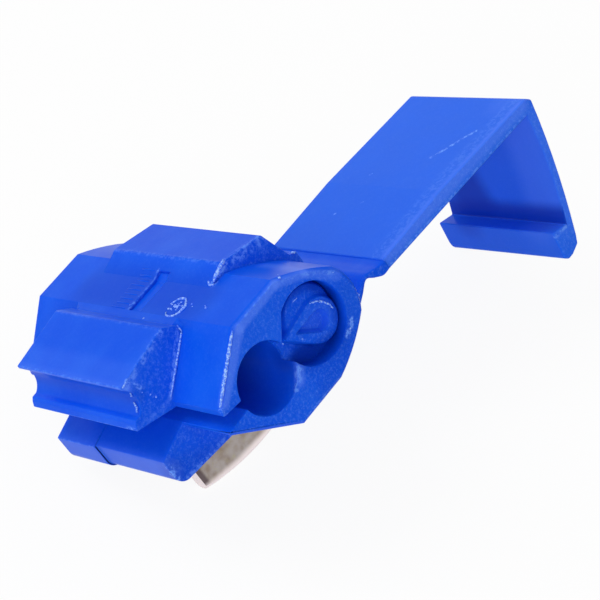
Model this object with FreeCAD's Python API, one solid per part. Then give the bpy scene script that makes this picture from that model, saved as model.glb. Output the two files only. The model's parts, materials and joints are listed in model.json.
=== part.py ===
import FreeCAD, Part
import math
import os

# T-tap wire connector: a moulded housing with a through channel for the run wire and a blind
# channel for the tap wire, a lid on a living hinge, and a slotted contact plate that is pressed home
# before the lid snaps shut. Sizes are in millimetres. The section frame has its origin on the run
# wire's axis, X along the wires, Y towards the hinge and Z up; the finished part is turned from it
# as the open connector lies on a table.

# Wire channels
run_bore_r = 2.13
tap_bore_r = 1.95
channel_pitch = 4.31
body_length = 20.0
mouth_gap = 0.5
mouth_flare = 0.3
recess_r = 2.43
recess_depth = 1.3
recess_flat_offset = 2.27
recess_flat_lean = 51.0
stop_wall = 0.6
stop_boss_r = 1.63
stop_boss_height = 0.5
stop_boss_dy = 0.5
stop_boss_dz = 0.26
stop_hole_r = 0.72
stop_rim = 0.6
stop_rim_height = 0.75
stop_hole_dy = 0.72
stop_hole_dz = -0.55
stop_hole_tail = 2.05
stop_hole_lean = 160.0

# Body section
half_height = 3.95
top_front_y = 0.1
top_back_y = 3.8
bottom_front_y = 0.2
upper_jaw_reach = 3.5
upper_jaw_nose = 0.46
lower_jaw_reach = 3.8
lower_jaw_nose = 0.27
back_reach = 3.66
back_upper_y = 7.45
back_upper_z = 1.45
back_lower_y = 7.43
back_lower_z = -2.07
back_crown = 0.22
end_bevel = 0.2

# Middle block with catch, rib and lower jaw plate
block_length = 10.95
catch_ridge_y = -1.3
catch_ridge_z = 4.68
catch_heel_y = -0.46
catch_heel_z = 4.0
catch_tip_y = -5.45
catch_tip_z = 4.12
catch_lip = 0.2
groove_y = -5.03
groove_z = 2.75
groove_low_y = -5.6
groove_low_z = 2.0
lower_lip_y = -6.28
lower_lip_z = 1.45
lower_lip_height = 0.55
lower_lip_slope = 0.34
rib_foot_y = 2.64
rib_front_y = 4.11
rib_height = 0.55
rib_back_y = 7.2
rib_back_z = 3.7
block_back_y = 8.45
block_waist_y = 7.57
block_waist_z = 2.56
block_ledge_y = 8.0
block_ledge_z = 1.34
core_groove_x = -0.1
core_groove_width = 1.2
core_groove_back_y = 3.2
core_groove_depth = 0.4
ridge_round = 0.3
slab_front_y = -6.4
slab_top_z = -1.15
slab_bottom_z = -3.25
slab_round = 0.8
slab_step_x = -1.4
slab_step = 0.15
floor_lean = 5.4

# Contact: flat plate across both wires, slotted for each, with a crowned and rounded foot
contact_plate = 1.0
contact_x = 0.0
contact_half_width = 5.35
contact_foot_z = -8.95
contact_crown_r = 16.0
contact_tip_z = -2.35
contact_travel = 4.3
contact_edge_r = 0.4
wire_slot = 0.9
wire_slot_depth = 3.1
slot_lead_in = 0.45
tip_bevel = 1.0
contact_clearance = 0.1
contact_headroom = 0.3

# Lid, moulded open, and its living hinge
hinge_y = 9.25
hinge_z = -5.0
lid_root_y = 12.9
lid_root_top_z = -3.85
lid_plate = 0.82
lid_knee_y = 19.0
lid_reach_y = 28.48
lid_reach_z = -4.4
lid_under_z = -5.35
lid_edge_round = 0.4
flange = 0.95
flange_bow = 0.3
flange_bottom_y = 25.9
flange_bottom_z = -14.3
lip_root_y = 25.64
lip_root_z = -13.05
lip_tip_y = 24.38
lip_tip_z = -12.68
lip_bottom_y = 24.45
lip_bottom_z = -15.05
lip_front_lean = 0.3
lip_corner = 0.5
lip_end_round = 0.8
web_step = 0.1
web_root = 0.8
web_notch_y = 11.2
web_notch_z = -3.87
web_skin = 0.3
web_shoulder_y = 12.33
web_dip_y = 9.6
web_dip_z = -4.85
web_dip = 0.6

# Lean of the part on the table, seen along its section
rest_lean = 28.7

wire_ys = (0.0, channel_pitch)
contact_centre_y = sum(wire_ys) / 2


def at(y, z, x=0.0):
    """Point of the section frame."""
    return FreeCAD.Vector(x, y, z)


def bar(steps, length, x_low=None):
    """Bar along the wires. A step is a corner (y, z) or an arc as (middle, end)."""
    x = -length / 2 if x_low is None else x_low
    here = steps[0]
    edges = []
    closing = [] if steps[-1][-1] == steps[0] else steps[:1]
    for step in steps[1:] + closing:
        if isinstance(step[0], tuple):
            middle, end = step
            edges.append(Part.Arc(at(*here, x), at(*middle, x), at(*end, x)).toShape())
        else:
            end = step
            edges.append(Part.LineSegment(at(*here, x), at(*end, x)).toShape())
        here = end
    return Part.Face(Part.Wire(edges)).extrude(FreeCAD.Vector(length, 0, 0))


def rod(y, z, radius, x_low, x_high):
    """Round bar along the wires."""
    return Part.makeCylinder(radius, x_high - x_low, at(y, z, x_low), FreeCAD.Vector(1, 0, 0))


def block(x_low, x_high, y_low, y_high, z_low, z_high):
    """Box between two corners."""
    return Part.makeBox(x_high - x_low, y_high - y_low, z_high - z_low, at(y_low, z_low, x_low))


def rounded(solid, radius, corners):
    """The bar with its long edges through these (y, z) corners rounded."""
    edges = []
    for edge in solid.Edges:
        middle = edge.CenterOfMass
        for y, z in corners:
            off = math.hypot(middle.y - y, middle.z - z)
            if edge.BoundBox.XLength > radius and off < radius / 10:
                edges.append(edge)
    return solid.makeFillet(radius, edges)


def bevelled(solid, size):
    """The bar with its outer edges bevelled at both ends, apart from those of the thin jaw tips."""
    edges = []
    for edge in solid.Edges:
        middle = edge.CenterOfMass
        tip = middle.y < 0 and abs(middle.z) < run_bore_r / 2
        if edge.BoundBox.XLength < size and not tip:
            edges.append(edge)
    return solid.makeChamfer(size, edges)


def body():
    """Full-length lens-shaped bar whose front end is split into two jaws by the mouth."""
    back_y = channel_pitch + back_reach
    inner_y = -run_bore_r / 2
    upper_nose_z = mouth_gap / 2 + mouth_flare
    lower_nose_z = -mouth_gap / 2 - mouth_flare / 2
    upper_mid = ((top_back_y + back_upper_y) / 2 + back_crown / 2,
                 (half_height + back_upper_z) / 2 + back_crown / 2)
    lower_mid = ((top_back_y + back_lower_y) / 2 + back_crown,
                 (back_lower_z - half_height) / 2 - back_crown / 2)
    back_mid = (back_y, (back_upper_z + back_lower_z) / 2)
    solid = bar([(inner_y, mouth_gap / 2),
                 (-upper_jaw_reach, upper_nose_z),
                 (-upper_jaw_reach, upper_nose_z + upper_jaw_nose),
                 (top_front_y, half_height),
                 (top_back_y, half_height),
                 (upper_mid, (back_upper_y, back_upper_z)),
                 (back_mid, (back_lower_y, back_lower_z)),
                 (lower_mid, (top_back_y, -half_height)),
                 (bottom_front_y, -half_height),
                 (-lower_jaw_reach, lower_nose_z - lower_jaw_nose),
                 (-lower_jaw_reach, lower_nose_z),
                 (inner_y, -mouth_gap / 2)], body_length)
    return bevelled(solid, end_bevel)


def catch():
    """Hooked block on the upper jaw that the lid's lip snaps under."""
    jaw_z = mouth_gap / 2 + mouth_flare
    solid = bar([(catch_ridge_y, catch_ridge_z),
                 (catch_heel_y, catch_heel_z),
                 (catch_heel_y, run_bore_r),
                 (-upper_jaw_reach, jaw_z),
                 (lower_lip_y, lower_lip_z),
                 (lower_lip_y + lower_lip_slope / 2, lower_lip_z + lower_lip_height - catch_lip),
                 (lower_lip_y + lower_lip_slope, lower_lip_z + lower_lip_height),
                 (groove_low_y, groove_low_z),
                 ((groove_y, groove_z), (catch_tip_y, catch_tip_z - catch_lip)),
                 (catch_tip_y, catch_tip_z)], block_length)
    return rounded(solid, ridge_round, [(catch_ridge_y, catch_ridge_z)])


def floor_z(y):
    """Height of the block's floor, which slopes down towards the hinge."""
    return slab_bottom_z - (y - slab_front_y - slab_round) * math.tan(math.radians(floor_lean))


def rib_and_back():
    """Squared back of the middle block with its top rib."""
    rib_top_z = half_height + rib_height
    solid = bar([(top_front_y, half_height),
                 (rib_foot_y, half_height),
                 (rib_front_y, rib_top_z),
                 (rib_back_y, rib_back_z),
                 (block_waist_y, block_waist_z),
                 (block_ledge_y, block_ledge_z),
                 (block_back_y, block_ledge_z - catch_lip),
                 (block_back_y, floor_z(block_back_y)),
                 (bottom_front_y, floor_z(bottom_front_y)),
                 (top_front_y, 0.0)], block_length)
    return rounded(solid, ridge_round, [(rib_front_y, rib_top_z)])


def plate_length(front_y, x_low, x_high):
    """Length of the lower plate with its front at the given depth."""
    corner = slab_round * (1 - math.sqrt(0.5))
    return bar([(-run_bore_r, -mouth_gap / 2 - mouth_flare / 4),
                (-lower_jaw_reach, -mouth_gap / 2 - mouth_flare / 2),
                (front_y, slab_top_z),
                (front_y, slab_bottom_z + slab_round),
                ((front_y + corner, slab_bottom_z + corner),
                 (front_y + slab_round, slab_bottom_z)),
                (bottom_front_y, floor_z(bottom_front_y)),
                (bottom_front_y, -run_bore_r)], x_high - x_low, x_low)


def lower_plate():
    """Lower jaw drawn out into a thick plate under the catch, with the mould's step in its front."""
    half = block_length / 2
    proud = plate_length(slab_front_y, -half, slab_step_x)
    return proud.fuse(plate_length(slab_front_y + slab_step, slab_step_x, half))


def core_groove():
    """Short groove across the top face that a core pin of the mould leaves."""
    return block(core_groove_x, core_groove_x + core_groove_width, catch_heel_y, core_groove_back_y,
                 half_height - core_groove_depth, half_height + rib_height)


def stop_outline(extra):
    """Teardrop of the wire stop, wider than its hole by the given rim."""
    centre_y = channel_pitch + stop_hole_dy
    centre_z = stop_hole_dz
    radius = stop_hole_r + extra
    lean = math.radians(stop_hole_lean)
    tail = stop_hole_tail + extra
    half = math.acos(radius / tail)
    ends = []
    for side in (half, -half):
        ends.append((centre_y + radius * math.cos(lean + side),
                     centre_z + radius * math.sin(lean + side)))
    far = (centre_y - radius * math.cos(lean), centre_z - radius * math.sin(lean))
    tip = (centre_y + tail * math.cos(lean), centre_z + tail * math.sin(lean))
    return [tip, ends[0], (far, ends[1])]


def end_recess():
    """Wide pocket in the closed end with a flat beside the partition, round the wire stop's boss."""
    x_back = body_length / 2 - recess_depth
    pocket = rod(channel_pitch, 0.0, recess_r, x_back, body_length / 2)
    flat = block(x_back, body_length / 2, -recess_r, recess_r, recess_flat_offset, 2 * recess_r)
    flat.rotate(at(0, 0), FreeCAD.Vector(1, 0, 0), recess_flat_lean)
    flat.translate(at(channel_pitch, 0.0))
    rim = bar(stop_outline(stop_rim), stop_rim_height, x_back)
    rim = rim.common(rod(channel_pitch, 0.0, recess_r, x_back, body_length / 2))
    boss = rod(channel_pitch + stop_boss_dy, stop_boss_dz, stop_boss_r, x_back, x_back + stop_boss_height)
    return pocket.cut(flat).cut(boss).cut(rim)


def contact_slot():
    """Slot through the floor that guides the contact, with room above its pressed tips."""
    reach = contact_half_width + contact_clearance
    y_low = contact_centre_y - reach
    y_high = contact_centre_y + reach
    top_z = contact_tip_z + contact_travel + contact_headroom
    thickness = contact_plate + 2 * contact_clearance
    return bar([(y_low, contact_foot_z),
                (y_low, top_z - tip_bevel),
                (y_low + tip_bevel, top_z),
                (y_high - tip_bevel, top_z),
                (y_high, top_z - tip_bevel),
                (y_high, contact_foot_z)], thickness, contact_x - thickness / 2)


def make_housing():
    """Moulded housing: body, catch, rib and plate, less the channels and the contact's room."""
    stop_x = body_length / 2 - recess_depth
    solid = body().fuse([catch(), rib_and_back(), lower_plate()])
    solid = solid.cut(rod(0.0, 0.0, run_bore_r, -body_length / 2, body_length / 2))
    solid = solid.cut(rod(channel_pitch, 0.0, tap_bore_r, -body_length / 2, stop_x - stop_wall))
    solid = solid.cut(end_recess())
    solid = solid.cut(bar(stop_outline(0.0), body_length / 2, 0.0))
    solid = solid.cut(contact_slot())
    solid = solid.cut(core_groove())
    return solid.removeSplitter().Solids[0]


def crown_z(y):
    """Height of the contact's crowned foot."""
    drop = contact_crown_r - math.sqrt(contact_crown_r ** 2 - (y - contact_centre_y) ** 2)
    return contact_foot_z + drop


def make_contact():
    """Plate with a slot for each wire, bevelled tips and a foot crowned for the pliers."""
    y_low = contact_centre_y - contact_half_width
    y_high = contact_centre_y + contact_half_width
    solid = bar([(y_low, crown_z(y_low)),
                 (y_low, contact_tip_z - tip_bevel),
                 (y_low + tip_bevel, contact_tip_z),
                 (y_high - tip_bevel, contact_tip_z),
                 (y_high, contact_tip_z - tip_bevel),
                 (y_high, crown_z(y_high)),
                 ((contact_centre_y, contact_foot_z), (y_low, crown_z(y_low)))],
                contact_plate, contact_x - contact_plate / 2)
    foot = [edge for edge in solid.Edges if isinstance(edge.Curve, Part.Circle)]
    solid = solid.makeFillet(contact_edge_r, foot)
    half = wire_slot / 2
    low = contact_tip_z - wire_slot_depth
    for y in wire_ys:
        solid = solid.cut(bar([(y - half, low + half),
                               ((y, low), (y + half, low + half)),
                               (y + half, contact_tip_z - slot_lead_in),
                               (y + half + slot_lead_in, contact_tip_z),
                               (y - half - slot_lead_in, contact_tip_z),
                               (y - half, contact_tip_z - slot_lead_in)],
                              contact_plate, contact_x - contact_plate / 2))
    return solid


def lip_end_cutter():
    """Bar towards the hinge that leaves the lip's lower left corner rounded."""
    low_x = -block_length / 2
    reach = lid_reach_y + flange
    corner = lip_end_round * (1 - math.sqrt(0.5))
    middle = at(0.0, lip_bottom_z + corner, low_x + corner)
    edges = [Part.Arc(at(0.0, lip_bottom_z + lip_end_round, low_x), middle,
                      at(0.0, lip_bottom_z, low_x + lip_end_round)).toShape()]
    corners = [at(0.0, lip_bottom_z, low_x + lip_end_round), at(0.0, lip_bottom_z, -low_x),
               at(0.0, 0.0, -low_x), at(0.0, 0.0, low_x), at(0.0, lip_bottom_z + lip_end_round, low_x)]
    for start, end in zip(corners, corners[1:]):
        edges.append(Part.LineSegment(start, end).toShape())
    return Part.Face(Part.Wire(edges)).extrude(FreeCAD.Vector(0, reach, 0))


def make_lid():
    """Lid plate with the flange and the hooked lip, as it is moulded."""
    inner_top_y = lid_reach_y - flange
    outer_mid = ((lid_reach_y + flange_bottom_y) / 2 + flange_bow,
                 (lid_reach_z + flange_bottom_z) / 2)
    inner_mid = ((inner_top_y + lip_root_y) / 2 + flange_bow, (lid_under_z + lip_root_z) / 2)
    solid = bar([(lid_root_y, lid_root_top_z),
                 (lid_knee_y, lid_root_top_z),
                 (lid_reach_y - lid_edge_round, lid_reach_z),
                 (lid_reach_y, lid_reach_z - lid_edge_round),
                 (outer_mid, (flange_bottom_y, flange_bottom_z)),
                 (flange_bottom_y - lip_corner / 2, flange_bottom_z - lip_corner),
                 (flange_bottom_y - 2 * lip_corner, lip_bottom_z),
                 (lip_bottom_y, lip_bottom_z),
                 (lip_bottom_y - lip_front_lean, lip_bottom_z + lip_front_lean),
                 (lip_tip_y, lip_tip_z),
                 (lip_root_y, lip_root_z),
                 (inner_mid, (inner_top_y, lid_under_z)),
                 (lid_root_y, lid_root_top_z - lid_plate)], block_length)
    return solid.common(lip_end_cutter())


def make_living_hinge():
    """Thin moulded web from the block's back to the lid's root, notched underneath where it folds."""
    x = -block_length / 2
    root_z = lid_root_top_z - web_step
    foot_z = floor_z(block_back_y)
    top = Part.BSplineCurve()
    top.interpolate([at(block_back_y, foot_z + web_root, x),
                     at(web_dip_y, web_dip_z + web_dip, x),
                     at(web_notch_y, web_notch_z + web_skin, x),
                     at(lid_root_y, root_z, x)])
    under = Part.BSplineCurve()
    under.interpolate([at(web_notch_y, web_notch_z, x),
                       at(web_dip_y, web_dip_z, x),
                       at(block_back_y, foot_z, x)])
    root_low = (lid_root_y, lid_root_top_z - lid_plate)
    shoulder = (web_shoulder_y, lid_root_top_z - lid_plate)
    corners = [at(lid_root_y, root_z, x), at(*root_low, x), at(*shoulder, x),
               at(web_notch_y, web_notch_z, x)]
    edges = [top.toShape()]
    for start, end in zip(corners, corners[1:]):
        edges.append(Part.LineSegment(start, end).toShape())
    edges.append(under.toShape())
    edges.append(Part.LineSegment(at(block_back_y, foot_z, x),
                                  at(block_back_y, foot_z + web_root, x)).toShape())
    return Part.Face(Part.Wire(edges)).extrude(FreeCAD.Vector(block_length, 0, 0))


def resting_turn():
    """Turn that lays the part on the body's left end, the lip's left corner and the contact's foot."""
    lean = math.radians(rest_lean)
    foot_y = contact_centre_y - contact_half_width
    foot = at(foot_y, crown_z(foot_y) + contact_edge_r * (1 - math.cos(lean)),
              contact_x - contact_plate / 2 + contact_edge_r * (1 - math.sin(lean)))
    end = at(bottom_front_y, -half_height, end_bevel - body_length / 2)
    rise = lip_end_round - lip_front_lean
    lip = at(lip_bottom_y - lip_front_lean, lip_bottom_z + lip_front_lean,
             lip_end_round - block_length / 2 - math.sqrt(lip_end_round ** 2 - rise ** 2))
    up = (foot - end).cross(lip - end).normalize()
    forward = at(1.0, 0.0)
    forward = (forward - up * forward.dot(up)).normalize()
    return FreeCAD.Rotation(forward.cross(up), forward, up, "ZYX").inverted()


def place(shapes):
    """Lay the part down and put its origin under the middle of its box."""
    for shape in shapes.values():
        shape.Placement = FreeCAD.Placement(FreeCAD.Vector(), resting_turn())
    box = Part.makeCompound(list(shapes.values())).optimalBoundingBox(True, False)
    shift = FreeCAD.Vector(-box.Center.x, -box.Center.y, -box.ZMin)
    for shape in shapes.values():
        shape.translate(shift)
    return shift


shapes = {"housing": make_housing(), "lid": make_lid(),
          "living_hinge": make_living_hinge(), "contact": make_contact()}
shift = place(shapes)
os.makedirs("parts", exist_ok=True)
for node, shape in shapes.items():
    shape.exportStep("parts/" + node + ".step")
    box = shape.optimalBoundingBox(True, False)
    print(node, shape.isValid(), len(shape.Solids), "faces", len(shape.Faces), "volume %.2f" % shape.Volume,
          "box", [round(v, 2) for v in (box.XMin, box.YMin, box.ZMin, box.XMax, box.YMax, box.ZMax)])
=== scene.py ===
import bmesh
import bpy
import json
import math
import random
from mathutils import Matrix, Vector, noise


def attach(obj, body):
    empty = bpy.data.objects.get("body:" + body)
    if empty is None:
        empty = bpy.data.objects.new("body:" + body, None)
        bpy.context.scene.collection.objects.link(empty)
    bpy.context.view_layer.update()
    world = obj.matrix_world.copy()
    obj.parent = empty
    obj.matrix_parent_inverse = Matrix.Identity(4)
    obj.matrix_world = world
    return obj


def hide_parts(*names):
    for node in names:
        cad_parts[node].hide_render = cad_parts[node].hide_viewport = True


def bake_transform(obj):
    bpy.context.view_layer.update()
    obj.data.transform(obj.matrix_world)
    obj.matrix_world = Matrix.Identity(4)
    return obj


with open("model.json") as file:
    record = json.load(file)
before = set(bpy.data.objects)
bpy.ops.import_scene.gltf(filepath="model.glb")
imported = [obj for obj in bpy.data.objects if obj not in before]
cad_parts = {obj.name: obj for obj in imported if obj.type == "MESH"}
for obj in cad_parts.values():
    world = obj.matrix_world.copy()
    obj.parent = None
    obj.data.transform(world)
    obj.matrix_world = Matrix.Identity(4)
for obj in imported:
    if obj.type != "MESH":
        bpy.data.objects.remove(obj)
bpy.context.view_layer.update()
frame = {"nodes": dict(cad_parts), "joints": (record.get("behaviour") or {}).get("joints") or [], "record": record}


# Housing: the moulded body with the run wire's open channel, the tap wire's blind channel and the
# catch. It is glossy mid-blue polypropylene, shot in one piece with its lid. Its ends carry the matt
# grain of a spark-eroded mould, with pale flecks painted in as glints, and its long faces the
# mould's polish.
MM = 0.001
record = frame["record"]
run_channel = record["mounts"][0]
press = next(joint for joint in frame["joints"] if joint["name"] == "contact_press")
along = Vector(run_channel["axis"]).normalized()
upward = Vector(press["axis"]).normalized()
towards_hinge = upward.cross(along)
section_origin = Vector(run_channel["pos_m"])
section = Matrix.Translation(section_origin) @ Matrix((along, towards_hinge, upward)).transposed().to_4x4()


def at(x, y, z):
    """Place of a point of the section: x along the wires, y to the hinge, z up, in millimetres."""
    return section @ (Vector((x, y, z)) * MM)


class Flow:
    """A value, colour or direction that runs through a finish."""

    full_share = 0.3

    def __init__(self, tree, socket=None):
        self.tree = tree
        self.socket = socket

    def node(self, kind, settings, inputs, output=0):
        """Any node, from its type, its settings, and the values or flows of its sockets."""
        made = self.tree.nodes.new("ShaderNode" + kind)
        for name, value in settings.items():
            setattr(made, name, value)
        for name, value in inputs.items():
            if isinstance(value, Flow):
                self.tree.links.new(value.socket, made.inputs[name])
            else:
                made.inputs[name].default_value = value
        return Flow(self.tree, made.outputs[output])

    def maths(self, operation, *values):
        return self.node("Math", {"operation": operation}, dict(enumerate(values)))

    def mix_of(self, share, under, over):
        """One colour, with a share of another over it."""
        return self.node("Mix", {"data_type": "RGBA"}, {0: share, 6: under, 7: over}, 2)

    def vector(self, operation, *values, output="Vector"):
        return self.node("VectorMath", {"operation": operation}, dict(enumerate(values)), output)

    def __add__(self, other):
        return self.maths("ADD", self, other)

    def __radd__(self, other):
        return self.maths("ADD", other, self)

    def __sub__(self, other):
        return self.maths("SUBTRACT", self, other)

    def __rsub__(self, other):
        return self.maths("SUBTRACT", other, self)

    def __mul__(self, other):
        return self.maths("MULTIPLY", self, other)

    def __rmul__(self, other):
        return self.maths("MULTIPLY", other, self)

    def __abs__(self):
        return self.maths("ABSOLUTE", self)

    def at_most(self, other):
        return self.maths("MINIMUM", self, other)

    def at_least(self, other):
        return self.maths("MAXIMUM", self, other)

    def step(self, low, high):
        """0 below low and 1 above high, with a soft change between."""
        return self.node("MapRange", {"interpolation_type": "SMOOTHSTEP"},
                         {"Value": self, "From Min": low, "From Max": high})

    def dot(self, way):
        return self.vector("DOT_PRODUCT", self, way, output="Value")

    def near(self, start, end, reach):
        """1 by a straight run between two places, fading to 0 at the reach."""
        start, end = Vector(start), Vector(end)
        run = end - start
        off = self.vector("SUBTRACT", self, start)
        share = off.dot(run / run.length_squared).at_least(0.0).at_most(1.0)
        foot = self.node("VectorMath", {"operation": "SCALE"}, {0: run, "Scale": share})
        gap = self.vector("LENGTH", off.vector("SUBTRACT", off, foot), output="Value")
        return 1 - gap.step(reach * self.full_share, reach)

    def mix(self, colour, share):
        return self.mix_of(share, self, colour)

    def noise(self, cell, detail=2.0, roughness=0.5):
        """Uneven value round a half, with patches of about that many millimetres."""
        return self.node("TexNoise", {}, {"Vector": self, "Scale": 1 / cell, "Detail": detail,
                                          "Roughness": roughness})


def new_finish(name):
    """An empty finish, its shader node, the place on the section in millimetres, and the facing."""
    finish = bpy.data.materials.new(name)
    finish.use_nodes = True
    flow = Flow(finish.node_tree)
    place = flow.node("TexCoord", {}, {}, "Object")
    spot = flow.node("Mapping", {"vector_type": "TEXTURE"},
                     {"Vector": place, "Location": section_origin, "Rotation": section.to_euler(),
                      "Scale": (MM, MM, MM)})
    return finish, finish.node_tree.nodes["Principled BSDF"], spot, flow.node("TexCoord", {}, {}, "Normal")


def feed(shader, name, flow):
    flow.tree.links.new(flow.socket, shader.inputs[name])


plastic_blue = (0.001, 0.083, 0.76, 1.0)
plastic_pale = (0.012, 0.13, 0.84, 1.0)
# Painted shade: the deeper blue laid into the colour where shade falls.
painted_shade_blue = (0.0, 0.034, 0.44, 1.0)
# Painted light: the paler blue laid into the colour where light falls.
painted_light_blue = (0.11, 0.25, 1.0, 1.0)
# Pale blue of scraped plastic, also used for painted glints and edge highlights.
wear_and_glint_blue = (0.15, 0.34, 1.0, 1.0)
housing_gloss = 0.05
plastic_ior = 1.49
across_range = (0.7, 0.95)
cloud_cell, cloud_range, cloud_share = 3.2, (0.35, 0.75), 0.45
fleck_cell, fleck_range, fleck_least, fleck_across = 0.2, (0.46, 0.7), 0.06, 0.27
breaks_cell, breaks_range = 0.3, (0.42, 0.62)
grain_cell, ripple_cell = 0.17, 1.1
coarse, rich, fine_detail = 1.0, 3.0, 4.0
fleck_harsh, grain_harsh, break_harsh = 0.85, 0.75, 0.7
side_range = (0.1, 0.5)
plain_rough, across_rough, ripple_rough, scrape_rough = 0.3, 0.12, 0.06, 0.2
ripple_height, grain_height, across_height, scrape_height = 0.6, 0.12, 2.2, 1.5
relief_depth, relief_strength = 0.035, 0.6
depth_share, depth_reach, depth_colours = 0.12, 0.6, (0.1, 0.4, 1.0)


def moulded_blue(name, body_blue, wear_and_glints=(), shaded=(), lit=(), gloss=housing_gloss,
                 shaded_side=None):
    """Blue polypropylene: glossy and a little cloudy, and matt on the faces across the wires. Pale flecks
    there are painted glints; the wear runs are pale, partly from scraping and partly painted edge
    highlights; the lit runs are painted light, and the shaded runs painted shade in a deeper blue. The
    painted shade can be kept to the faces of one side."""
    finish, shader, spot, facing = new_finish(name)
    across = abs(facing.dot(along)).step(*across_range)
    cloud = spot.noise(cloud_cell, rich)
    fleck = spot.noise(fleck_cell, fine_detail, fleck_harsh)
    grain = spot.noise(grain_cell, fine_detail, grain_harsh)
    ripple = spot.noise(ripple_cell, coarse)
    breaks = spot.noise(breaks_cell, rich, break_harsh).step(*breaks_range)
    colour = spot.mix_of(cloud.step(*cloud_range) * cloud_share, body_blue, plastic_pale)
    # Pale flecks, most on the faces across the wires: painted glints.
    glints_and_wear = fleck.step(*fleck_range) * (fleck_least + across * fleck_across)
    # Lit runs: painted light.
    for start, end, reach, share in lit:
        colour = colour.mix(painted_light_blue, spot.near(start, end, reach) * share)
    # Shaded runs: painted shade, kept to one side's faces when asked.
    for start, end, reach, share in shaded:
        shade = spot.near(start, end, reach) * share
        if shaded_side is not None:
            shade = shade * facing.dot(shaded_side).step(*side_range)
        colour = colour.mix(painted_shade_blue, shade)
        glints_and_wear = glints_and_wear * (1 - shade)
    rub_and_glint = None
    # Wear runs: pale scraped plastic, partly painted edge highlights.
    for start, end, reach, share in wear_and_glints:
        mark = spot.near(start, end, reach) * share
        rub_and_glint = mark if rub_and_glint is None else rub_and_glint.at_least(mark)
    if rub_and_glint is not None:
        rub_and_glint = rub_and_glint * breaks
        glints_and_wear = glints_and_wear.at_least(rub_and_glint)
    colour = colour.mix(wear_and_glint_blue, glints_and_wear)
    feed(shader, "Base Color", colour)
    rough = plain_rough + across * across_rough + ripple * ripple_rough + grain * across * across_rough
    height = ripple * ripple_height + grain * (grain_height + across * across_height)
    if rub_and_glint is not None:
        rough = rough + rub_and_glint * scrape_rough
        height = height + rub_and_glint * fleck * scrape_height
    feed(shader, "Roughness", rough)
    feed(shader, "Normal", spot.node("Bump", {}, {
        "Strength": relief_strength, "Distance": relief_depth * MM, "Height": height}))
    shader.inputs["IOR"].default_value = plastic_ior
    shader.inputs["Specular IOR Level"].default_value = gloss
    shader.inputs["Subsurface Weight"].default_value = depth_share
    shader.inputs["Subsurface Radius"].default_value = depth_colours
    shader.inputs["Subsurface Scale"].default_value = depth_reach * MM
    return finish


weld_gap = 0.001
flat_angle, sharp_angle = math.radians(0.6), math.radians(28)


def soften_edges(piece, width, held=False):
    """The small radius on a piece's edges, held back at short edges where asked."""
    weld = piece.modifiers.new("joined_faces", "WELD")
    weld.merge_threshold = weld_gap * MM
    flat = piece.modifiers.new("whole_flats", "DECIMATE")
    flat.decimate_type = "DISSOLVE"
    flat.angle_limit = flat_angle
    bevel = piece.modifiers.new("mould_radius", "BEVEL")
    bevel.width = width * MM
    bevel.segments = 3
    bevel.limit_method = "ANGLE"
    bevel.angle_limit = sharp_angle
    bevel.use_clamp_overlap = held
    bevel.harden_normals = True
    normals = piece.modifiers.new("even_shine", "WEIGHTED_NORMAL")
    normals.keep_sharp = True


def wear(piece, finish):
    """Give a piece of the CAD its finish."""
    piece.data.materials.clear()
    piece.data.materials.append(finish)


# Each wear, shaded or lit run is its start, its end, the reach round it, and its share. The wear runs
# are partly scraped plastic and partly painted edge highlights, the shaded runs painted shade, and
# the lit runs painted light.
end_x = 10.0
block_x = 5.475
housing_edge = 0.06
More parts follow.
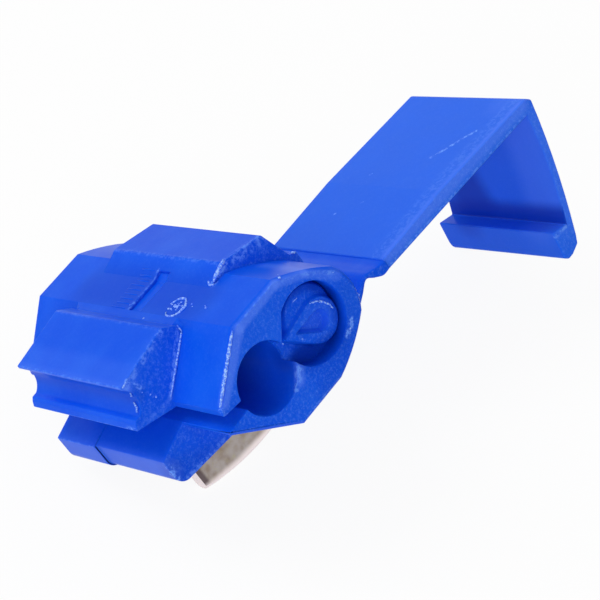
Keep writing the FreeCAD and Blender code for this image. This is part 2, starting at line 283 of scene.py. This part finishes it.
# Pale wear runs on the housing's edges and ends: partly scraped plastic, partly painted edge highlights.
housing_wear_and_glints = [((end_x, 0.05, 3.9), (end_x, -3.4, 1.2), 0.16, 1.0),
                ((end_x, 1.2, 3.75), (end_x, 3.8, 3.75), 0.12, 0.5),
                ((end_x, 5.8, 2.5), (end_x, 7.3, 1.1), 0.2, 0.5),
                ((end_x, 3.8, 3.7), (end_x, 5.8, 2.5), 0.14, 0.4),
                ((end_x, 6.42, -1.87), (end_x, 5.65, -2.31), 0.3, 0.9),
                ((end_x, 1.95, -1.1), (end_x, 1.1, -1.9), 0.45, 0.7),
                ((end_x, 0.4, -3.7), (end_x, 3.6, -3.7), 0.12, 0.4),
                ((block_x, -1.5, 4.5), (block_x, -5.2, 3.9), 0.32, 0.6),
                ((block_x, -4.9, 4.3), (block_x, -4.5, 3.2), 0.2, 0.8),
                ((block_x, -0.46, 3.9), (block_x, -3.5, 1.25), 0.2, 0.6),
                ((block_x, 4.2, 4.3), (block_x, 7.1, 3.5), 0.6, 0.6),
                ((block_x, 2.9, 4.0), (block_x, 4.2, 4.3), 0.3, 1.0),
                ((block_x, -6.2, 1.5), (block_x, -3.8, 1.2), 0.25, 0.35),
                ((block_x, -6.3, -1.6), (block_x, -6.3, -2.6), 0.5, 1.0),
                ((-block_x, -6.28, 1.45), (block_x, -6.28, 1.45), 0.12, 0.35),
                ((-block_x, -6.4, -1.15), (block_x, -6.4, -1.15), 0.12, 0.3),
                ((-block_x, -5.42, 4.08), (block_x, -5.42, 4.08), 0.14, 0.35),
                ((-block_x, 4.11, 4.48), (block_x, 4.11, 4.48), 0.25, 0.25),
                ((-block_x, -1.3, 4.62), (block_x, -1.3, 4.62), 0.3, 0.2),
                ((-block_x, -5.5, 4.0), (-block_x, -1.3, 4.6), 0.2, 0.3),
                ((-0.12, -0.4, 3.95), (-0.12, 3.2, 4.1), 0.22, 0.6),
                ((end_x - 0.05, 3.8, 3.9), (end_x - 0.05, 6.0, 2.9), 0.1, 0.5),
                ((end_x - 0.05, 0.2, 3.9), (end_x - 0.05, 3.8, 3.9), 0.1, 0.4),
                ((end_x, -3.4, 0.6), (end_x, -3.4, 1.1), 0.3, 0.8),
                ((block_x - 0.9, -6.28, 1.5), (block_x, -6.28, 1.4), 0.3, 0.9),
                ((block_x, -5.6, -3.1), (block_x, -2.0, -3.4), 0.3, 0.5)]
# Painted shade on the walls of the wire stop's recess.
pocket_shaded = [((9.0, 3.3, 2.2), (9.0, 5.0, 2.3), 0.95, 0.6),
                 ((9.0, 5.0, 2.3), (9.0, 6.3, 1.4), 0.95, 0.7),
                 ((9.0, 6.3, 1.4), (9.0, 6.7, 0.0), 0.95, 0.7),
                 ((9.0, 6.7, 0.0), (9.0, 6.2, -1.5), 0.95, 0.7)]
# Painted shade on the housing: under the catch's ridge, on its end face's lower part, on the top between the catch
# and the rib, round and in the recess, and on the lower plate.
housing_shaded = [*pocket_shaded,
                  ((-block_x, -4.9, 3.0), (block_x, -4.9, 3.0), 0.8, 0.25),
                  ((end_x, 7.2, -1.0), (end_x, 3.2, -4.0), 2.0, 0.22),
                  ((-5.0, 1.6, 3.95), (5.0, 1.6, 3.95), 2.6, 0.35),
                  ((9.3, 4.4, -0.2), (9.3, 4.4, 0.2), 2.5, 0.35),
                  ((8.9, 3.0, -1.2), (8.9, 5.0, -1.6), 1.9, 0.95),
                  ((block_x, -6.0, -2.4), (block_x, -3.0, -4.2), 1.6, 0.3),
                  ((-block_x, -6.4, -2.2), (block_x, -6.4, -2.2), 1.4, 0.2)]
# Painted light on the housing: on the catch's front, on the lower plate's front, in bands along the end face's
# outline and by the run bore, and a painted sheen on the body's back.
housing_lit = [((-block_x, -4.6, 4.2), (block_x, -4.6, 4.2), 1.1, 0.1),
               ((-block_x, -5.3, 3.7), (block_x, -5.3, 3.7), 0.6, 0.45),
               ((-block_x, -6.4, -2.0), (block_x, -6.4, -2.0), 1.2, 0.38),
               ((end_x, -3.0, 1.15), (end_x, 0.4, 3.5), 0.5, 0.45),
               ((end_x, 0.4, 3.5), (end_x, 3.8, 3.6), 0.42, 0.45),
               ((end_x, 3.8, 3.6), (end_x, 5.7, 2.6), 0.42, 0.4),
               ((end_x, 5.7, 2.6), (end_x, 7.3, 0.8), 0.42, 0.3),
               ((end_x, 2.2, -0.9), (end_x, 1.5, -1.8), 0.5, 0.35),
               ((6.5, 6.0, 3.0), (9.4, 5.8, 3.1), 0.9, 0.3)]
housing = frame["nodes"]["housing"]
wear(housing, moulded_blue("moulded_blue_housing", plastic_blue, housing_wear_and_glints, housing_shaded, housing_lit))
soften_edges(housing, housing_edge)


# Flash and crumbs of the housing: thin pale beads that the mould's parting left along the catch, the
# rib and the jaw's end, an ejector's scuffed ring, and crumbs of scraped plastic. Their pale colour is
# partly painted glints, and the beads along the catch's end and the jaw's end stand for painted edge
# highlights. They are one with the housing.
draw = random.Random(7)
flash_blue = (0.03, 0.16, 0.9, 1.0)
# Pale of the flash and crumbs, which also serves as painted glints and highlights.
flash_and_glint_pale = (0.34, 0.55, 1.0, 1.0)
flash_grain, flash_depth, flash_strength = 0.12, 0.02, 0.5
rub_and_glint_finish, rub_and_glint_shader, rub_and_glint_spot, _ = new_finish("wear_and_glint_blue")
rub_and_glint_grain = rub_and_glint_spot.noise(flash_grain, rich, break_harsh)
feed(rub_and_glint_shader, "Base Color",
     rub_and_glint_spot.mix_of(rub_and_glint_grain.step(*breaks_range), flash_blue, flash_and_glint_pale))
feed(rub_and_glint_shader, "Roughness", plain_rough + rub_and_glint_grain * scrape_rough)
feed(rub_and_glint_shader, "Normal", rub_and_glint_spot.node("Bump", {}, {
    "Strength": flash_strength, "Distance": flash_depth * MM, "Height": rub_and_glint_grain}))
bead_steps_per_mm, bead_sides = 9, 7
bead_taper = 0.3
swell, swell_rate = 0.55, 5.3
lump, lump_rate = 0.25, 9.1
crumb_stretch = (0.6, 1.3)
crumb_bump, crumb_rate = 0.35, 2.3


def close_round(mesh, rings):
    """Faces between rings of corners, and one over each end."""
    for ring, following in zip(rings, rings[1:]):
        for j, vertex in enumerate(ring):
            mesh.faces.new((vertex, ring[j - 1], following[j - 1], following[j]))
    mesh.faces.new(rings[0])
    mesh.faces.new(reversed(rings[-1]))


def add_bead(mesh, corners, radius):
    """Uneven round bead of flash along a run of corners, in section millimetres."""
    stations = []
    for start, end in zip(corners, corners[1:]):
        start, end = Vector(start), Vector(end)
        steps = max(2, round((end - start).length * bead_steps_per_mm))
        stations += [start.lerp(end, k / steps) for k in range(steps)]
    stations.append(Vector(corners[-1]))
    rings = []
    for k, station in enumerate(stations):
        run = (stations[min(k + 1, len(stations) - 1)] - stations[max(k - 1, 0)]).normalized()
        side = run.orthogonal().normalized()
        other = run.cross(side)
        taper = math.sin(math.pi * (k + 0.6) / (len(stations) + 0.2)) ** bead_taper
        thick = radius * taper * (1 + swell * noise.noise(station * swell_rate))
        ring = []
        for j in range(bead_sides):
            angle = 2 * math.pi * j / bead_sides
            reach = thick * (1 + lump * noise.noise(station * lump_rate + Vector((j, 0, 0))))
            way = side * math.cos(angle) + other * math.sin(angle)
            ring.append(mesh.verts.new(at(*(station + way * reach))))
        rings.append(ring)
    close_round(mesh, rings)


def add_crumb(mesh, centre, size):
    """Lump of scraped plastic that sticks to a face."""
    made = bmesh.ops.create_icosphere(mesh, subdivisions=2, radius=1.0)
    stretch = Vector([size * draw.uniform(*crumb_stretch) for axis in range(3)])
    for vertex in made["verts"]:
        bump = 1 + crumb_bump * noise.noise(vertex.co * crumb_rate + Vector(centre))
        vertex.co = at(*(Vector(centre) + vertex.co * stretch * bump))


def new_piece(name, mesh, finish):
    """Object from a mesh, in its finish."""
    bmesh.ops.recalc_face_normals(mesh, faces=mesh.faces)
    data = bpy.data.meshes.new(name)
    mesh.to_mesh(data)
    mesh.free()
    data.shade_smooth()
    piece = bpy.data.objects.new(name, data)
    bpy.context.scene.collection.objects.link(piece)
    data.materials.append(finish)
    return piece


def housing_piece(name, mesh, finish):
    """Object of blue plastic that is one with the housing."""
    piece = new_piece(name, mesh, finish)
    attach(piece, "housing")
    return piece


top_z = 3.95
# The beads along the catch's end edge and the jaw's end edge stand for painted edge highlights.
flash_and_highlight_runs = [([(block_x, -0.42, 4.0), (block_x + 0.02, -0.44, 3.55), (block_x + 0.02, -3.45, 1.27)], 0.07),
              ([(end_x - 0.03, 0.03, 3.76), (end_x - 0.03, -3.36, 1.16)], 0.1),
              ([(block_x - 0.05, 4.35, 4.45), (block_x, 3.9, 4.4), (block_x, 3.3, 4.2),
                (block_x, 2.95, 4.05)], 0.12),
              ([(block_x - 0.5, 3.0, 4.06), (block_x - 0.25, 2.8, 4.0), (block_x + 0.05, 2.85, 3.95)], 0.08),
              ([(block_x, 8.38, 1.2), (block_x, 8.1, 1.4)], 0.1),
              ([(block_x - 0.02, -5.35, 4.02), (block_x - 0.02, -4.9, 4.12)], 0.07),
              ([(block_x - 0.1, -5.55, 2.25), (block_x - 0.3, -5.3, 2.3), (block_x - 0.5, -5.15, 2.6)], 0.07),
              ([(block_x - 0.1, -5.15, 3.4), (block_x - 0.3, -5.05, 3.1), (block_x - 0.6, -5.03, 2.9)], 0.05)]
stuck_crumbs = [((5.07, 1.28, top_z), 0.06), ((5.3, 1.1, top_z), 0.04), ((6.55, 1.15, top_z), 0.07),
                ((6.3, 1.3, top_z), 0.04), ((1.96, -0.3, top_z), 0.08), ((-0.32, 0.51, top_z), 0.07),
                ((end_x, 7.2, 1.2), 0.05), ((end_x - 0.1, 7.75, -0.4), 0.06),
                ((end_x - 0.1, 7.76, -1.2), 0.07), ((end_x, 3.15, -0.1), 0.07), ((end_x, 2.0, 0.69), 0.06),
                ((end_x - 0.1, 4.3, 3.62), 0.08), ((end_x - 0.6, 4.6, 3.5), 0.05),
                ((end_x, 6.3, -1.9), 0.05), ((end_x, 6.0, -2.15), 0.06), ((block_x, -4.3, 2.4), 0.07),
                ((block_x, -4.1, 2.0), 0.05), ((block_x, -4.6, 2.9), 0.05)]
ring_centre = Vector((3.95, 0.86, top_z))
ring_radius, ring_bead = 0.72, 0.085
ring_start, ring_end, ring_steps = -2.4, 2.9, 16
ring_wobble, wobble_rate, wobble_seed = 0.12, 1.7, 0.4
ring_crumbs, ring_crumb_size = 22, 0.06


def round_the_ring(angle, distance):
    return ring_centre + Vector((math.cos(angle), math.sin(angle), 0.0)) * distance


flash_mesh = bmesh.new()
for corners, radius in flash_and_highlight_runs:
    add_bead(flash_mesh, corners, radius)
ring_run = []
for step in range(ring_steps + 1):
    angle = ring_start + (ring_end - ring_start) * step / ring_steps
    wobble = 1 + ring_wobble * noise.noise(Vector((angle * wobble_rate, wobble_seed, 0.0)))
    ring_run.append(round_the_ring(angle, ring_radius * wobble))
add_bead(flash_mesh, ring_run, ring_bead)
for crumb in range(ring_crumbs):
    angle = draw.uniform(0, 2 * math.pi)
    add_crumb(flash_mesh, round_the_ring(angle, ring_radius * draw.uniform(0.1, 0.9)), ring_crumb_size)
for centre, size in stuck_crumbs:
    add_crumb(flash_mesh, centre, size)
housing_piece("flash_and_crumbs", flash_mesh, rub_and_glint_finish)


# Tick row on the housing's top: short raised lines left of the core groove, cut in the mould as a
# gauge mark. They are moulded with the body, in the same blue.
tick_low_y = 0.22
tick_pitch = 0.37
tick_count = 9
tick_left_x, tick_left_spread = -1.9, 0.12
tick_right_x = -0.45
tick_end = 0.1
tick_half_width, tick_end_share = 0.07, 0.2
tick_rise = 0.04
rib_foot_y, rib_foot_slope = 2.64, 0.374
shoulder, shoulder_drop = 0.7, 0.6
tick_mesh = bmesh.new()
for tick in range(tick_count):
    y = tick_low_y + tick * tick_pitch
    left = tick_left_x + draw.uniform(-tick_left_spread, tick_left_spread)
    crown = top_z + tick_rise + max(0.0, y - rib_foot_y) * rib_foot_slope
    under = crown - 3 * tick_rise
    brow = crown - tick_rise * shoulder_drop
    rows = []
    for x, share in ((left, tick_end_share), (left + tick_end, 1.0), (tick_right_x - tick_end, 1.0),
                     (tick_right_x, tick_end_share)):
        rows.append([tick_mesh.verts.new(at(x, y + side * tick_half_width * share,
                                            under + (level - under) * (0.5 + share / 2)))
                     for side, level in ((-1, under), (-shoulder, brow), (0, crown), (shoulder, brow),
                                         (1, under))])
    close_round(tick_mesh, rows)
housing_piece("tick_row", tick_mesh, moulded_blue("moulded_blue_ticks", plastic_blue))


# Floors of the moulded hollows: the sloped floor of the core groove in the top, and the fillet behind
# the catch. Both are one with the housing, in its blue.
groove_left, groove_right, groove_front, groove_back = -0.12, 1.12, -0.5, 3.22
groove_bottom, groove_deep, groove_shallow = 3.5, 3.74, 3.92
groove_bend_x, groove_bend_rise = 0.75, 0.03
ramp_rise = 0.22
heel_foot = 3.5
heel_shape = [(-0.47, 3.52, 0.45), (-0.2, 3.72, 0.235), (0.14, 3.945, 0.008)]
heel_reach = 4.9
floor_mesh = bmesh.new()
groove_rows = []
for y, extra in ((groove_front, 0.0), (rib_foot_y, 0.0), (groove_back, ramp_rise)):
    groove_rows.append([floor_mesh.verts.new(at(x, y, z)) for x, z in (
        (groove_left, groove_bottom), (groove_left, groove_deep + extra),
        (groove_bend_x, groove_deep + groove_bend_rise + extra), (groove_right, groove_shallow + extra),
        (groove_right, groove_bottom))])
close_round(floor_mesh, groove_rows)
heel_rows = []
for x, rise in ((-block_x, 0.0), (-heel_reach, 1.0), (heel_reach, 1.0), (block_x, 0.0)):
    crest = [(y, level + extra * rise) for y, level, extra in heel_shape]
    heel_rows.append([floor_mesh.verts.new(at(x, y, z))
                      for y, z in ((crest[0][0], heel_foot), *crest, (crest[-1][0], heel_foot))])
close_round(floor_mesh, heel_rows)
hollow_floors = housing_piece("hollow_floors", floor_mesh, moulded_blue("moulded_blue_floors", plastic_blue))
for polygon in hollow_floors.data.polygons:
    polygon.use_smooth = False


# Soft skin of the wire stop: the rounded forms of its boss, of the teardrop rim and of the well that
# the rim surrounds, as the core pin moulded them. It is one with the housing, in its blue.
pocket_y, pocket_r = 4.31, 2.43
boss_y, boss_z, boss_r = 4.81, 0.26, 1.63
well_y, well_z, well_r, well_tail, well_lean = 5.03, -0.55, 0.72, 2.05, math.radians(160.0)
rim_width = 0.6
run_bore_r = 2.15
pocket_x, boss_x, rim_x, well_x, skin_under_x = 8.715, 9.22, 9.47, 9.0, 8.5
boss_slope, rim_slope, well_slope = 0.3, 0.2, 0.26
edge_cover = 0.02
skin_cell = 0.06
skin_overlap, bore_gap = 0.1, 0.03
skin_waviness, wave_rate = 0.012, 2.6
cell_corners = ((0, 0), (1, 0), (1, 1), (0, 1))
cell_neighbours = ((0, -1), (1, 0), (0, 1), (-1, 0))


def ease(value):
    """0 up to 0 and 1 from 1 on, with a soft change between."""
    value = min(1.0, max(0.0, value))
    return value * value * (3 - 2 * value)


def off_teardrop(y, z, radius, tail):
    """Distance of a point outside a teardrop round the well's middle, less than 0 inside it."""
    run = (y - well_y) * math.cos(well_lean) + (z - well_z) * math.sin(well_lean)
    side = abs((z - well_z) * math.cos(well_lean) - (y - well_y) * math.sin(well_lean))
    taper = radius / tail
    slant = math.sqrt(1 - taper * taper)
    level = run * slant - side * taper
    if level < 0:
        return math.hypot(run, side) - radius
    if level > slant * tail:
        return math.hypot(run - tail, side)
    return side * slant + run * taper - radius


def skin_height(y, z):
    """How far along the wires the skin stands at a place of the pocket."""
    off_boss = math.hypot(y - boss_y, z - boss_z) - boss_r
    height = pocket_x + (boss_x - pocket_x) * (1 - ease((off_boss - edge_cover) / boss_slope))
    off_rim = off_teardrop(y, z, well_r + rim_width, well_tail + rim_width)
    height += (rim_x - height) * (1 - ease((off_rim - edge_cover) / rim_slope))
    off_well = off_teardrop(y, z, well_r, well_tail)
    height += (well_x - height) * ease((-off_well - edge_cover) / well_slope)
    return height + skin_waviness * noise.noise(Vector((y, z, 0.0)) * wave_rate)


skin_mesh = bmesh.new()
skin_corners = {}


def skin_corner(row, column):
    """Upper and under corner of the skin at a place of its grid."""
    if (row, column) not in skin_corners:
        y = pocket_y + row * skin_cell
        z = column * skin_cell
        skin_corners[row, column] = (skin_mesh.verts.new(at(skin_height(y, z), y, z)),
                                     skin_mesh.verts.new(at(skin_under_x, y, z)))
    return skin_corners[row, column]


reach = math.ceil((pocket_r + skin_overlap) / skin_cell)
kept_cells = set()
for row in range(-reach, reach):
    for column in range(-reach, reach):
        corners = [(pocket_y + (row + i) * skin_cell, (column + j) * skin_cell) for i, j in cell_corners]
        in_pocket = all(math.hypot(y - pocket_y, z) < pocket_r + skin_overlap for y, z in corners)
        if in_pocket and all(math.hypot(y, z) > run_bore_r + bore_gap for y, z in corners):
            kept_cells.add((row, column))
for row, column in sorted(kept_cells):
    ring = [skin_corner(row + i, column + j) for i, j in cell_corners]
    skin_mesh.faces.new([upper for upper, under in ring])
    skin_mesh.faces.new([under for upper, under in reversed(ring)])
    for k, (down, over) in enumerate(cell_neighbours):
        if (row + down, column + over) not in kept_cells:
            following = ring[(k + 1) % 4]
            skin_mesh.faces.new((ring[k][1], following[1], following[0], ring[k][0]))
# Painted shade on the recess walls and in its lower part, and painted light in the well.
skin_shaded = [*pocket_shaded, ((8.9, 3.0, -1.7), (8.9, 5.2, -2.3), 1.2, 0.9)]
skin_lit = [((well_x, 4.8, -0.3), (well_x, 5.4, -0.6), 1.4, 0.12)]
housing_piece("wire_stop_skin", skin_mesh,
              moulded_blue("moulded_blue_stop", plastic_blue, (), skin_shaded, skin_lit))


# Pale arcs in the wire stop's recess: thin beads on the boss and on the teardrop's rim that stand for
# the highlights on those rims, painted highlights. They are one with the housing, in the pale finish.
highlight_arc_runs = [([(boss_x, 5.05, 0.95), (boss_x, 5.45, 0.8), (boss_x, 5.75, 0.5)], 0.035),
              ([(rim_x, 5.1, 0.72), (rim_x, 5.5, 0.5), (rim_x, 5.85, 0.15), (rim_x, 6.1, -0.35),
                (rim_x, 6.15, -0.7)], 0.065),
              ([(boss_x, 4.4, 1.5), (boss_x, 4.8, 1.45)], 0.03)]
highlight_arc_mesh = bmesh.new()
for corners, radius in highlight_arc_runs:
    add_bead(highlight_arc_mesh, corners, radius)
housing_piece("recess_highlight_arcs", highlight_arc_mesh, rub_and_glint_finish)


# Lid: the flat plate with its flange and hooked lip, moulded open in one shot with the housing.
# It is the same blue polypropylene, with the mould's polish and a few handling scratches.
lid_blue = (0.014, 0.125, 0.8, 1.0)
lid_gloss = 0.07
lid_edge = 0.12
lid_worn = [((1.3, 18.0, -3.9), (2.0, 22.0, -4.1), 0.07, 0.25),
            ((2.0, 22.0, -4.1), (3.77, 24.74, -4.2), 0.2, 1.0),
            ((4.7, 13.2, -3.8), (4.7, 28.2, -4.4), 0.8, 0.22),
            ((block_x, 13.2, -4.5), (block_x, 27.4, -5.2), 0.14, 0.5),
            ((block_x, 24.3, -13.0), (block_x, 25.5, -13.2), 0.2, 0.7),
            ((-2.1, 20.0, -3.95), (-2.0, 20.1, -3.95), 0.12, 0.9),
            ((-0.6, 17.4, -3.85), (-0.5, 17.5, -3.85), 0.1, 0.9),
            ((-2.2, 16.25, -3.85), (-2.1, 16.3, -3.85), 0.12, 0.9)]
# Painted shade on the flange's inner face and the lip's front, kept to faces turned towards the housing.
lid_shaded = [((-block_x, 25.9, -12.9), (block_x, 25.9, -12.9), 1.5, 0.9),
              ((-5.2, 27.0, -6.0), (-2.6, 26.0, -12.5), 2.6, 0.8)]
# Painted light along the lid's end edge and on the flange's right part.
lid_lit = [((block_x + 0.1, 13.4, -3.95), (block_x + 0.1, 27.6, -4.5), 0.7, 0.4),
           ((4.0, 27.6, -6.0), (4.0, 25.6, -12.2), 2.6, 0.3)]
lid = frame["nodes"]["lid"]
wear(lid, moulded_blue("moulded_blue_lid", lid_blue, lid_worn, lid_shaded, lid_lit, lid_gloss,
                       -towards_hinge))
soften_edges(lid, lid_edge)


# Living hinge: the thin web between the housing's back and the lid's root. It is the same shot of
# blue polypropylene, thinned where it folds.
web_corner, least_round = 0.12, 0.98
web_stations = [(8.35, -3.72, -4.57), (8.9, -3.98, -4.68), (9.6, -4.25, -4.85), (10.4, -3.98, -4.42),
                (11.2, -3.6, -3.9), (11.8, -3.72, -4.3), (12.4, -3.9, -4.67), (13.0, -3.95, -4.67)]
web_steps = 8
web_across = 24
corner_points = 4


def eased(points, steps):
    """Smooth run of stations through the given ones."""
    runs = []
    ends = [points[0], *points, points[-1]]
    for before, here, there, after in zip(ends, ends[1:], ends[2:], ends[3:]):
        for k in range(steps):
            t = k / steps
            runs.append([(2 * h + (w - b) * t + (2 * b - 5 * h + 4 * w - a) * t ** 2
                          + (3 * h - b - 3 * w + a) * t ** 3) / 2
                         for b, h, w, a in zip(before, here, there, after)])
    return [*runs, list(points[-1])]


def web_ring(top, under):
    """Rounded strip across the web, as (x, z) points."""
    ring = []
    radius = min(web_corner, (top - under) / 2 * least_round)
    inset = block_x - radius
    for side_x, side_z, turn in ((1, 1, 0), (-1, 1, 1), (-1, -1, 2), (1, -1, 3)):
        for k in range(corner_points):
            angle = math.pi / 2 * (turn + k / (corner_points - 1))
            level = top - radius if side_z > 0 else under + radius
            ring.append((side_x * inset + radius * math.cos(angle), level + radius * math.sin(angle)))
        if turn in (0, 2):
            for k in range(1, web_across):
                x = side_x * inset * (1 - 2 * k / web_across)
                ring.append((x, top if side_z > 0 else under))
    return ring


web_mesh = bmesh.new()
rings = []
for y, top, under in eased(web_stations, web_steps):
    rings.append([web_mesh.verts.new(at(x, y, z)) for x, z in web_ring(top, under)])
close_round(web_mesh, rings)
web = new_piece("living_hinge_web", web_mesh, moulded_blue("moulded_blue_web", plastic_blue))
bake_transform(web)
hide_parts("living_hinge")


# Contact: the slotted plate that cuts through both wires' insulation. It is brass, dull with tin
# plating on its faces, punched out of strip, so that its cut edges are brighter, and pushed part of
# the way into its slot.
tin_grey = (0.4, 0.36, 0.34, 1.0)
tin_brown = (0.27, 0.21, 0.17, 1.0)
tin_gold = (0.4, 0.36, 0.24, 1.0)
# Bright metal of the cut edges, also used as a painted reflection of the white table on the foot.
tin_bright = (0.9, 0.8, 0.79, 1.0)
# Painted dark reflection of the housing, laid by the front edge.
painted_dark_reflection = (0.08, 0.05, 0.06, 1.0)
patch_cell, stain_cell, scratch_cell = 0.8, 0.45, 0.06
patch_range, stain_range, face_range = (0.3, 0.75), (0.5, 0.8), (0.9, 0.99)
stain_share, dark_reflection_share = 0.6, 0.8
tin_rough, scratch_rough = 0.36, 0.2
cut_metal, face_metal = 0.75, 0.2
tin_relief, tin_strength, patch_height = 0.01, 0.3, 2.0
contact_edge = 0.03
front_start, front_end, front_reach = (0.5, -3.05, -8.2), (0.5, -3.05, -4.0), 0.35
foot_reach = 0.75
foot_run = [(0.5, -3.15, -8.2), (0.5, -0.6, -8.72), (0.5, 2.15, -8.93), (0.5, 4.9, -8.72),
            (0.5, 7.5, -8.2)]


def tinned_plate(name):
    """Dull tin over brass: mottled face, a dark band by the front edge that is a painted reflection of
    the dark housing, a bright rounded foot whose brightness is a painted reflection of the white table,
    and bright cut edges.
    """
    finish, shader, spot, facing = new_finish(name)
    patch = spot.noise(patch_cell, rich)
    grain = spot.noise(scratch_cell)
    colour = spot.mix_of(patch.step(*patch_range), tin_grey, tin_brown)
    colour = colour.mix(tin_gold, spot.noise(stain_cell, rich).step(*stain_range) * stain_share)
    face = abs(facing.dot(along)).step(*face_range)
    front = spot.near(front_start, front_end, front_reach)
    # Dark band by the front edge: a painted reflection of the housing.
    colour = colour.mix(painted_dark_reflection, front * face * dark_reflection_share)
    foot = None
    for start, end in zip(foot_run, foot_run[1:]):
        part = spot.near(start, end, foot_reach)
        foot = part if foot is None else foot.at_least(part)
    # The foot's bright colour is a painted reflection of the white table; the cut edges are brighter bare metal.
    colour = colour.mix(tin_bright, foot.at_least(1 - face))
    feed(shader, "Base Color", colour)
    feed(shader, "Roughness", tin_rough + grain * scratch_rough)
    feed(shader, "Metallic", cut_metal + face * face_metal)
    feed(shader, "Normal", spot.node("Bump", {}, {
        "Strength": tin_strength, "Distance": tin_relief * MM, "Height": grain + patch * patch_height}))
    return finish


contact = frame["nodes"]["contact"]
wear(contact, tinned_plate("tinned_plate"))
soften_edges(contact, contact_edge, True)


# Stage: a plain white table that the open connector lies on, under a soft lamp and an even sky.
table_half = 1.5
table_white = (0.9, 0.9, 0.9, 1.0)
table_rough = 0.9
table_glow = 0.92
plain_white = (1.0, 1.0, 1.0, 1.0)
sky_light = 0.6
middle_height = 0.008
table_mesh = bpy.data.meshes.new("table_top")
table_mesh.from_pydata([(-table_half, -table_half, 0), (table_half, -table_half, 0),
                        (table_half, table_half, 0), (-table_half, table_half, 0)], [], [(0, 1, 2, 3)])
table = bpy.data.objects.new("table_top", table_mesh)
bpy.context.scene.collection.objects.link(table)


def seen_rays(tree):
    """1 for rays from the camera, or seen in metal or through glass."""
    flow = Flow(tree)
    camera_ray = flow.node("LightPath", {}, {}, "Is Camera Ray")
    glossy_ray = flow.node("LightPath", {}, {}, "Is Glossy Ray")
    clear_ray = flow.node("LightPath", {}, {}, "Is Transmission Ray")
    return camera_ray.at_least(glossy_ray).at_least(clear_ray)


table_finish = bpy.data.materials.new("plain_white_table")
table_finish.use_nodes = True
table_tree = table_finish.node_tree
table_shader = table_tree.nodes["Principled BSDF"]
table_shader.inputs["Base Color"].default_value = table_white
table_shader.inputs["Roughness"].default_value = table_rough
table_shader.inputs["Specular IOR Level"].default_value = 0.0
glow = Flow(table_tree).node("Emission", {}, {"Color": plain_white, "Strength": 1.0})
surface = glow.node("MixShader", {}, {0: seen_rays(table_tree) * table_glow,
                                      1: Flow(table_tree, table_shader.outputs[0]), 2: glow})
table_tree.links.new(surface.socket, table_tree.nodes["Material Output"].inputs["Surface"])
table_mesh.materials.append(table_finish)

sky = bpy.data.worlds.new("even_sky")
bpy.context.scene.world = sky
sky.use_nodes = True
background = sky.node_tree.nodes["Background"]
background.inputs["Color"].default_value = plain_white
feed(background, "Strength", seen_rays(sky.node_tree) * (1 - sky_light) + sky_light)


def soft_lamp(name, place, size, power):
    """Square lamp that points at the connector."""
    data = bpy.data.lights.new(name, "AREA")
    data.shape = "SQUARE"
    data.size = size
    data.energy = power
    lamp = bpy.data.objects.new(name, data)
    bpy.context.scene.collection.objects.link(lamp)
    lamp.location = place
    lamp.rotation_mode = "QUATERNION"
    aim = Vector((0, 0, middle_height)) - Vector(place)
    lamp.rotation_quaternion = aim.to_track_quat("-Z", "Y")


soft_lamp("lamp_over_left", (-0.22, -0.12, 0.36), 0.22, 0.66)
soft_lamp("lamp_front_right", (0.2, -0.34, 0.2), 0.2, 0.5)


# Camera: where the photograph was taken from, over the closed end of the body.
camera_place = (104.468, -43.369, 61.468)
camera_right = Vector((0.62335, 0.59085, -0.51218))
camera_up = Vector((-0.08889, 0.70431, 0.70431))
film_width = 36.0
lens_length = 130.32
farthest = 10.0
camera_data = bpy.data.cameras.new("camera")
camera_data.sensor_width = film_width
camera_data.lens = lens_length
camera_data.clip_start = MM
camera_data.clip_end = farthest
camera = bpy.data.objects.new("camera", camera_data)
bpy.context.scene.collection.objects.link(camera)
turn = section.to_3x3() @ Matrix((camera_right, camera_up, camera_right.cross(camera_up))).transposed()
camera.matrix_world = Matrix.Translation(at(*camera_place)) @ turn.to_4x4()
bpy.context.scene.camera = camera
bpy.context.scene.view_settings.view_transform = "Standard"
